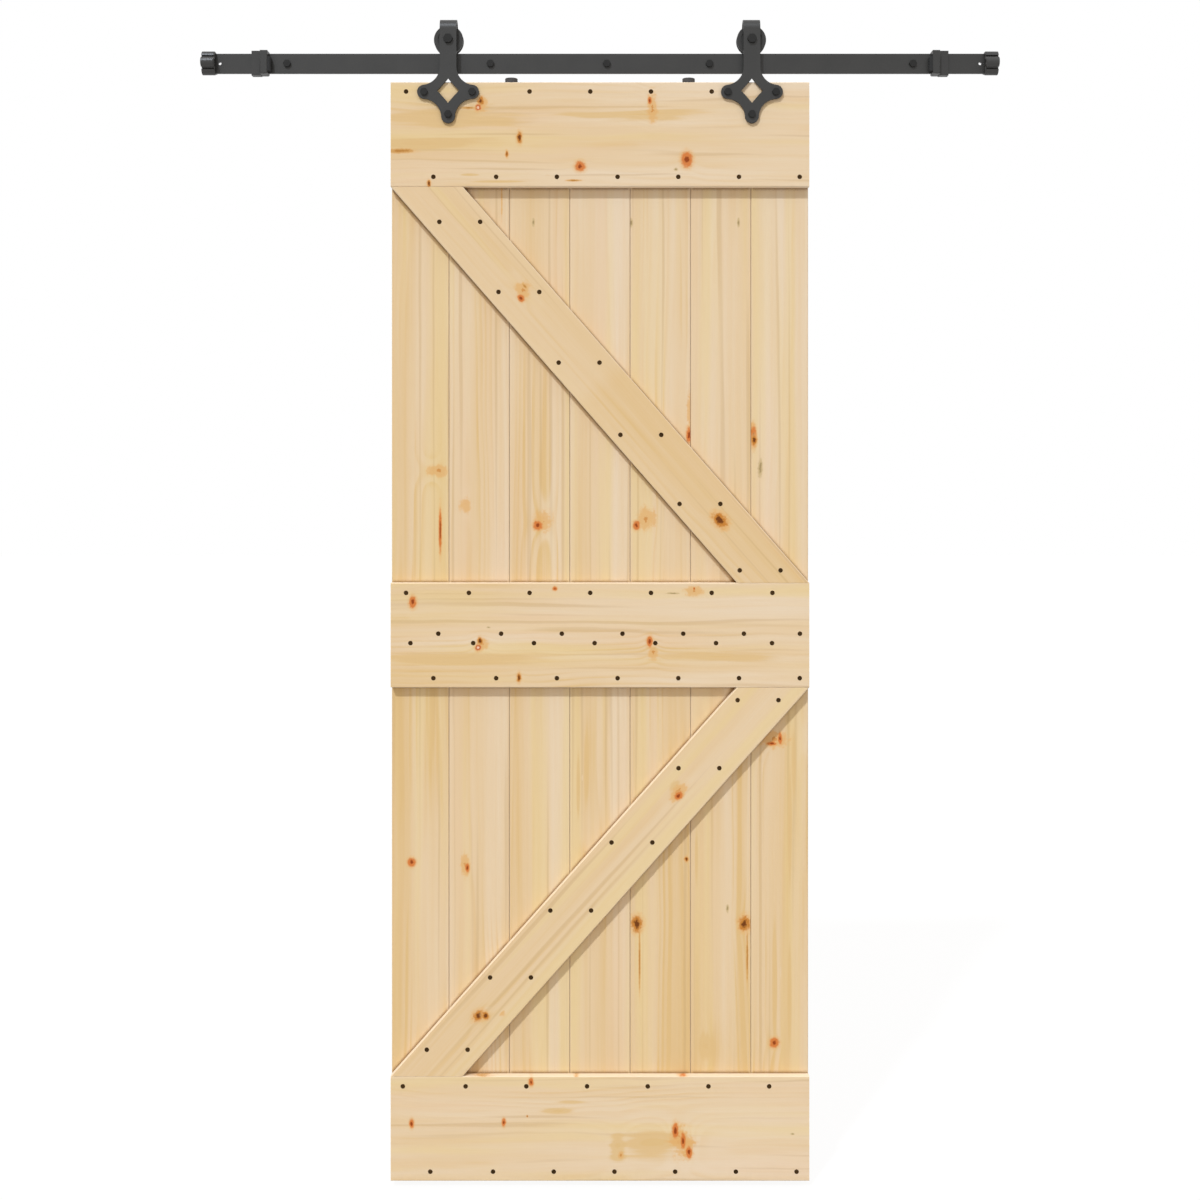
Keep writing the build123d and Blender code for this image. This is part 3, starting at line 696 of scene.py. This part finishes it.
# Screw heads that hold the boards, in millimetres: rows on the ledges, one head a board, pairs on
# the braces, and a head's outline as radius and height
FIRST_BOARD_SHIFT = -4
NailRow = namedtuple("NailRow", "down offset last_shift")
NAIL_ROWS = {
    "top_ledge": (NailRow(18, 39.4, 0), NailRow(181, 91.6, 0)),
    "middle_ledge": (
        NailRow(19, 39.4, 0),
        NailRow(97, 101, -9),
        NailRow(115, 47.7, -9),
        NailRow(182, 91.6, 0),
    ),
    "bottom_ledge": (NailRow(19, 33.2, 0), NailRow(182, 85.6, 0)),
}
BRACE_PAIR_HALF = 39
BRACE_PAIRS = {
    "upper_brace": ((132, 267), (245, 401), (360, 536), (478, 674), (591, 806), (706, 933)),
    "lower_brace": ((702, 1181), (589, 1311), (461, 1453), (344, 1583), (229, 1711), (108, 1849)),
}
NAIL_PROFILE = ((4.4, 0.0), (4.25, 0.35), (3.7, 0.6), (2.6, 0.75), (1.5, 0.75), (1.0, 0.25))
NAIL_SEGMENTS = 20


def nail_points(name):
    """Places of one piece's screw heads, in millimetres right of and down from the door's corner."""
    if name in BRACE_PAIRS:
        return [(x + s * BRACE_PAIR_HALF, y) for x, y in BRACE_PAIRS[name] for s in (-1, 1)]
    top = (DOOR_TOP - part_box(name)[1].z) / MM
    points = []
    for row in NAIL_ROWS[name]:
        across = [FIRST_JOINT + BOARD_PITCH * (board - 1) + row.offset for board in range(BOARDS)]
        across[0] += FIRST_BOARD_SHIFT
        across[-1] += row.last_shift
        points += [(x, top + row.down) for x in across]
    return points


def nail_heads(name):
    """Low round heads with a small drive hole, joined into one mesh for each piece."""
    work = bmesh.new()
    for right, down in nail_points(name):
        centre = Vector((DOOR_LEFT + right * MM, LEDGE_FACE, DOOR_TOP - down * MM))
        rings = []
        for radius, height in NAIL_PROFILE:
            ring = []
            for i in range(NAIL_SEGMENTS):
                turn = 2 * math.pi * i / NAIL_SEGMENTS
                flat = Vector((math.cos(turn), 0, math.sin(turn))) * radius * MM
                ring.append(work.verts.new(centre + flat - BACK * height * MM))
            rings.append(ring)
        for outer, inner in zip(rings, rings[1:]):
            for i in range(NAIL_SEGMENTS):
                j = (i + 1) % NAIL_SEGMENTS
                work.faces.new((outer[i], outer[j], inner[j], inner[i]))
        work.faces.new(rings[-1])
    bmesh.ops.recalc_face_normals(work, faces=work.faces)
    mesh = bpy.data.meshes.new(f"{name}_screw_heads")
    work.to_mesh(mesh)
    work.free()
    mesh.shade_smooth()
    made = bpy.data.objects.new(f"{name}_screw_heads", mesh)
    bpy.context.scene.collection.objects.link(made)
    return made


def add_nails():
    finish = coated_metal("dark_screws", NAIL, roughness=0.75, speckle=0.2, specular=0.1)
    for name in (*NAIL_ROWS, *BRACE_PAIRS):
        made = nail_heads(name)
        made.data.materials.append(finish)
        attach(made, "door")


# Rounded metal edges: width in millimetres and the least angle in degrees
ROUNDED_SLOTS = ("black_steel", "cap_steel", "wheel_steel", "bolt_steel")
ROUND_WIDTH = 0.4
ROUND_SEGMENTS = 2
ROUND_ANGLE = 35


def soften_edges():
    """A narrow round on the edges of the metal pieces."""
    for part in frame["record"]["subparts"]:
        if part["material_slot"] in ROUNDED_SLOTS:
            bevel = nodes[part["node"]].modifiers.new("edge_round", "BEVEL")
            bevel.width = ROUND_WIDTH * MM
            bevel.segments = ROUND_SEGMENTS
            bevel.limit_method = "ANGLE"
            bevel.angle_limit = math.radians(ROUND_ANGLE)


def add_camera():
    data = bpy.data.cameras.new("photo_view")
    data.lens = CAMERA_LENS
    data.shift_y = CAMERA_SHIFT
    made = bpy.data.objects.new("photo_view", data)
    middle = (DOOR_LEFT + DOOR_RIGHT) / 2
    made.location = (middle, LEDGE_FACE - CAMERA_DISTANCE, DOOR_TOP - CAMERA_DROP)
    made.rotation_euler = (math.pi / 2, 0, 0)
    bpy.context.scene.collection.objects.link(made)
    bpy.context.scene.camera = made


def add_sun():
    data = bpy.data.lights.new("key_light", "SUN")
    data.energy = SUN_STRENGTH
    data.color = SUN_COLOUR
    data.angle = math.radians(SUN_ANGLE)
    made = bpy.data.objects.new("key_light", data)
    rise, turn = math.radians(SUN_ELEVATION), math.radians(SUN_AZIMUTH)
    flat = math.cos(rise)
    toward = Vector((-math.sin(turn) * flat, -math.cos(turn) * flat, math.sin(rise)))
    made.rotation_euler = toward.to_track_quat("Z", "Y").to_euler()
    bpy.context.scene.collection.objects.link(made)


def seen_directly(tree):
    """A value of 1 for rays from the camera, a gloss or a clear surface, and 0 for diffuse light."""
    path = tree.nodes.new("ShaderNodeLightPath")
    total = path.outputs["Is Camera Ray"]
    for name in ("Is Glossy Ray", "Is Transmission Ray"):
        most = tree.nodes.new("ShaderNodeMath")
        most.operation = "MAXIMUM"
        tree.links.new(total, most.inputs[0])
        tree.links.new(path.outputs[name], most.inputs[1])
        total = most.outputs[0]
    return total


def add_world():
    world = bpy.data.worlds.new("white_studio")
    bpy.context.scene.world = world
    world.use_nodes = True
    tree = world.node_tree
    tree.nodes.clear()
    light = tree.nodes.new("ShaderNodeBackground")
    light.inputs["Color"].default_value = (*AMBIENT_COLOUR, 1)
    direction = tree.nodes.new("ShaderNodeTexCoord")
    parts = tree.nodes.new("ShaderNodeSeparateXYZ")
    tree.links.new(direction.outputs["Generated"], parts.inputs[0])
    strength = tree.nodes.new("ShaderNodeMapRange")
    strength.inputs["To Min"].default_value = AMBIENT_LEVEL
    strength.inputs["To Max"].default_value = AMBIENT_OVERHEAD
    tree.links.new(parts.outputs["Z"], strength.inputs["Value"])
    tree.links.new(strength.outputs[0], light.inputs["Strength"])
    white = tree.nodes.new("ShaderNodeBackground")
    white.inputs["Color"].default_value = (1, 1, 1, 1)
    white.inputs["Strength"].default_value = 1
    mix = tree.nodes.new("ShaderNodeMixShader")
    tree.links.new(seen_directly(tree), mix.inputs[0])
    tree.links.new(light.outputs[0], mix.inputs[1])
    tree.links.new(white.outputs[0], mix.inputs[2])
    output = tree.nodes.new("ShaderNodeOutputWorld")
    tree.links.new(mix.outputs[0], output.inputs[0])


def add_floor():
    """A white floor that keeps a faint shadow."""
    half = FLOOR_SIZE / 2
    height = DOOR_BOTTOM - FLOOR_GAP
    mesh = bpy.data.meshes.new("floor")
    corners = [(x, y, height) for x, y in ((-half, -half), (half, -half), (half, half), (-half, half))]
    mesh.from_pydata(corners, [], [(0, 1, 2, 3)])
    made = bpy.data.objects.new("floor", mesh)
    bpy.context.scene.collection.objects.link(made)
    material = bpy.data.materials.new("white_floor")
    material.use_nodes = True
    tree = material.node_tree
    tree.nodes.clear()
    matt = tree.nodes.new("ShaderNodeBsdfDiffuse")
    paleness = tree.nodes.new("ShaderNodeMath")
    paleness.operation = "MULTIPLY_ADD"
    paleness.inputs[1].default_value = 1 - FLOOR_BOUNCE
    paleness.inputs[2].default_value = FLOOR_BOUNCE
    tree.links.new(paleness.outputs[0], matt.inputs["Color"])
    glow = tree.nodes.new("ShaderNodeEmission")
    glow.inputs["Strength"].default_value = 1
    share = tree.nodes.new("ShaderNodeMath")
    share.operation = "MULTIPLY"
    share.inputs[1].default_value = 1 - FLOOR_SHADOW
    seen = seen_directly(tree)
    tree.links.new(seen, share.inputs[0])
    tree.links.new(seen, paleness.inputs[0])
    mix = tree.nodes.new("ShaderNodeMixShader")
    tree.links.new(share.outputs[0], mix.inputs[0])
    tree.links.new(matt.outputs[0], mix.inputs[1])
    tree.links.new(glow.outputs[0], mix.inputs[2])
    output = tree.nodes.new("ShaderNodeOutputMaterial")
    tree.links.new(mix.outputs[0], output.inputs[0])
    mesh.materials.append(material)


bpy.context.scene.view_settings.view_transform = "Standard"
add_camera()
add_sun()
add_world()
add_floor()
dress_wood()
dress_metal()
soften_edges()
add_nails()
